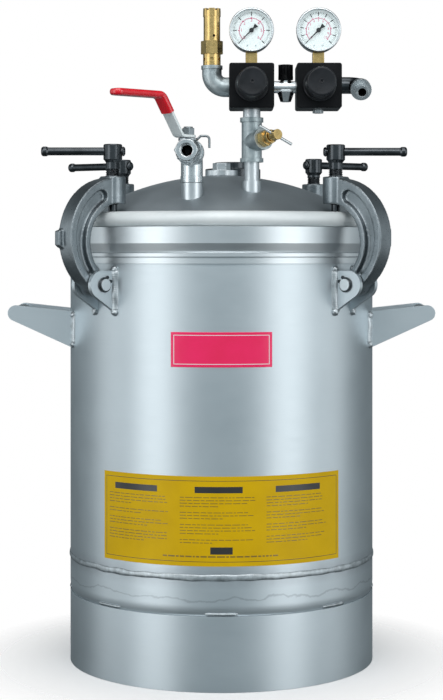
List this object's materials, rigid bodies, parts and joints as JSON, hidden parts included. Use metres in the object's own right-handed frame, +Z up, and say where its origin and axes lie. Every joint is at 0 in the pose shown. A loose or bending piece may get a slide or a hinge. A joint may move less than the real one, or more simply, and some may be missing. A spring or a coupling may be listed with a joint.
{
  "type": "resin pressure pot",
  "caption": "Cylindrical steel pressure vessel on a foot ring, with a domed lid held by swing clamps, side handles, a lever ball valve, regulators, gauges and a safety valve.",
  "frame": {"origin": "centre of the foot ring's lower face, on the tank's axis", "axes": "+Z up along the tank's axis, -Y towards the front where the valve outlet and dials face, +X to the right seen from the front"},
  "size_m": [0.4932, 0.4179, 0.749],
  "materials": {
    "stainless": "satin",
    "machined": "machined",
    "blasted": "bead blasted",
    "cast": "blackened",
    "black_steel": "blackened gloss",
    "galvanised": "zinc coated casting",
    "plated": "bright plated",
    "brass": "turned",
    "black_plastic": "moulded",
    "red_vinyl": "dipped",
    "rubber": "matt",
    "dial": "matt white",
    "lens": "clear",
    "label": "printed film"
  },
  "bodies": {
    "tank": {"tank_shell": "stainless", "tank_bottom": "stainless", "foot_ring": "stainless", "tank_flange": "machined", "clamp_brackets": "stainless", "hinge_pins": "machined", "pin_clips": "black_steel", "handle_plates": "stainless", "handle_grips": "stainless", "weld_beads": "stainless", "label_plates": "label"},
    "lid": {"lid_dish": "blasted", "lid_ring": "machined", "lid_gasket": "rubber", "lid_sockets": "machined", "blanking_plugs": "machined", "port_plug": "black_steel", "riser_tube": "stainless", "valve_elbow": "plated", "valve_body": "plated", "stop_wire": "machined", "pipe_nipples": "machined", "vent_tee": "galvanised", "vent_cock_body": "brass", "regulator_bodies": "black_plastic", "gauge_stems": "brass", "gauge_cases": "plated", "gauge_dials": "dial", "gauge_lenses": "lens", "link_valve_body": "plated", "safety_elbow": "galvanised", "safety_valve_body": "brass", "safety_valve_spring": "plated", "hose_elbow": "black_steel", "hose_tail": "plated"},
    "lever": {"valve_ball": "plated", "valve_stem": "machined", "valve_lever": "plated", "lever_grip": "red_vinyl", "lever_nut": "plated"},
    "knob_left": {"regulator_knob_left": "black_plastic"},
    "knob_right": {"regulator_knob_right": "black_plastic"},
    "needle_left": {"pointer_left": "black_steel"},
    "needle_right": {"pointer_right": "black_steel"},
    "vent": {"vent_screw": "brass", "vent_pin": "plated"},
    "link_knob": {"link_valve_knob": "black_plastic"},
    "relief_disc": {"safety_valve_disc": "brass"},
    "clamp_front_left": {"clamp_arm_front_left": "cast"},
    "screw_front_left": {"spindle_front_left": "black_steel"},
    "bar_front_left": {"tommy_bar_front_left": "black_steel"},
    "clamp_front_right": {"clamp_arm_front_right": "cast"},
    "screw_front_right": {"spindle_front_right": "black_steel"},
    "bar_front_right": {"tommy_bar_front_right": "black_steel"},
    "clamp_rear_left": {"clamp_arm_rear_left": "cast"},
    "screw_rear_left": {"spindle_rear_left": "black_steel"},
    "bar_rear_left": {"tommy_bar_rear_left": "black_steel"},
    "clamp_rear_right": {"clamp_arm_rear_right": "cast"},
    "screw_rear_right": {"spindle_rear_right": "black_steel"},
    "bar_rear_right": {"tommy_bar_rear_right": "black_steel"}
  },
  "joints": [
    {"name": "lid_lift", "type": "slide", "parent": "tank", "child": "lid", "axis": [0, 0, 1], "range_m": [0, 0.026]},
    {"name": "clamp_front_left_swing", "type": "hinge", "parent": "tank", "child": "clamp_front_left", "pos_m": [-0.14042, -0.13094, 0.44], "axis": [0.682, -0.7314, 0], "range_deg": [0, 131.2]},
    {"name": "screw_front_left_turn", "type": "hinge", "parent": "clamp_front_left", "child": "screw_front_left", "pos_m": [-0.1214, -0.11321, 0.55], "axis": [0, 0, 1], "range_deg": [0, 125]},
    {"name": "bar_front_left_slide", "type": "slide", "parent": "screw_front_left", "child": "bar_front_left", "axis": [1, 0, 0], "range_m": [0, 0.045]},
    {"name": "clamp_front_right_swing", "type": "hinge", "parent": "tank", "child": "clamp_front_right", "pos_m": [0.14815, -0.12213, 0.44], "axis": [0.6361, 0.7716, 0], "range_deg": [0, 131.2]},
    {"name": "screw_front_right_turn", "type": "hinge", "parent": "clamp_front_right", "child": "screw_front_right", "pos_m": [0.12809, -0.10559, 0.55], "axis": [0, 0, 1], "range_deg": [0, 125]},
    {"name": "bar_front_right_slide", "type": "slide", "parent": "screw_front_right", "child": "bar_front_right", "axis": [-1, 0, 0], "range_m": [0, 0.03]},
    {"name": "clamp_rear_left_swing", "type": "hinge", "parent": "tank", "child": "clamp_rear_left", "pos_m": [-0.14268, 0.12847, 0.44], "axis": [-0.6691, -0.7431, 0], "range_deg": [0, 131.2]},
    {"name": "screw_rear_left_turn", "type": "hinge", "parent": "clamp_rear_left", "child": "screw_rear_left", "pos_m": [-0.12336, 0.11108, 0.55], "axis": [0, 0, 1], "range_deg": [0, 125]},
    {"name": "bar_rear_left_slide", "type": "slide", "parent": "screw_rear_left", "child": "bar_rear_left", "axis": [0.866, -0.5, 0], "range_m": [0, 0.06]},
    {"name": "clamp_rear_right_swing", "type": "hinge", "parent": "tank", "child": "clamp_rear_right", "pos_m": [0.13337, 0.13811, 0.44], "axis": [-0.7193, 0.6947, 0], "range_deg": [0, 131.2]},
    {"name": "screw_rear_right_turn", "type": "hinge", "parent": "clamp_rear_right", "child": "screw_rear_right", "pos_m": [0.11531, 0.11941, 0.55], "axis": [0, 0, 1], "range_deg": [0, 125]},
    {"name": "bar_rear_right_slide", "type": "slide", "parent": "screw_rear_right", "child": "bar_rear_right", "axis": [-0.866, -0.5, 0], "range_m": [0, 0.06]},
    {"name": "ball_valve_turn", "type": "hinge", "parent": "lid", "child": "lever", "pos_m": [-0.03621, -0.16389, 0.586], "axis": [0, 0, 1], "range_deg": [-44, 46]},
    {"name": "regulator_left_turn", "type": "hinge", "parent": "lid", "child": "knob_left", "pos_m": [0.0335, -0.13, 0.661], "axis": [0, -1, 0], "range_deg": [0, 720]},
    {"name": "gauge_left_sweep", "type": "hinge", "parent": "lid", "child": "needle_left", "pos_m": [0.0335, -0.118, 0.724], "axis": [0, 1, 0], "range_deg": [0, 270]},
    {"name": "regulator_right_turn", "type": "hinge", "parent": "lid", "child": "knob_right", "pos_m": [0.1085, -0.13, 0.661], "axis": [0, -1, 0], "range_deg": [0, 720]},
    {"name": "gauge_right_sweep", "type": "hinge", "parent": "lid", "child": "needle_right", "pos_m": [0.1085, -0.118, 0.724], "axis": [0, 1, 0], "range_deg": [0, 270]},
    {"name": "vent_screw_turn", "type": "hinge", "parent": "lid", "child": "vent", "pos_m": [0.034, -0.1, 0.5995], "axis": [0.5406, -0.8324, 0.1219], "range_deg": [0, 540]},
    {"name": "link_valve_turn", "type": "hinge", "parent": "lid", "child": "link_knob", "pos_m": [0.072, -0.104, 0.67], "axis": [0, 0, 1], "range_deg": [0, 720]},
    {"name": "relief_disc_lift", "type": "slide", "parent": "lid", "child": "relief_disc", "axis": [0, 0, 1], "range_m": [0, 0.002], "stiffness_N_per_m": 1500, "deforming": ["safety_valve_spring"]}
  ],
  "couplings": [
    {"joint": "clamp_front_left_swing", "follows": "lid_lift", "rad_per_m": 88},
    {"joint": "clamp_front_right_swing", "follows": "lid_lift", "rad_per_m": 88},
    {"joint": "clamp_rear_left_swing", "follows": "lid_lift", "rad_per_m": 88},
    {"joint": "clamp_rear_right_swing", "follows": "lid_lift", "rad_per_m": 88}
  ]
}
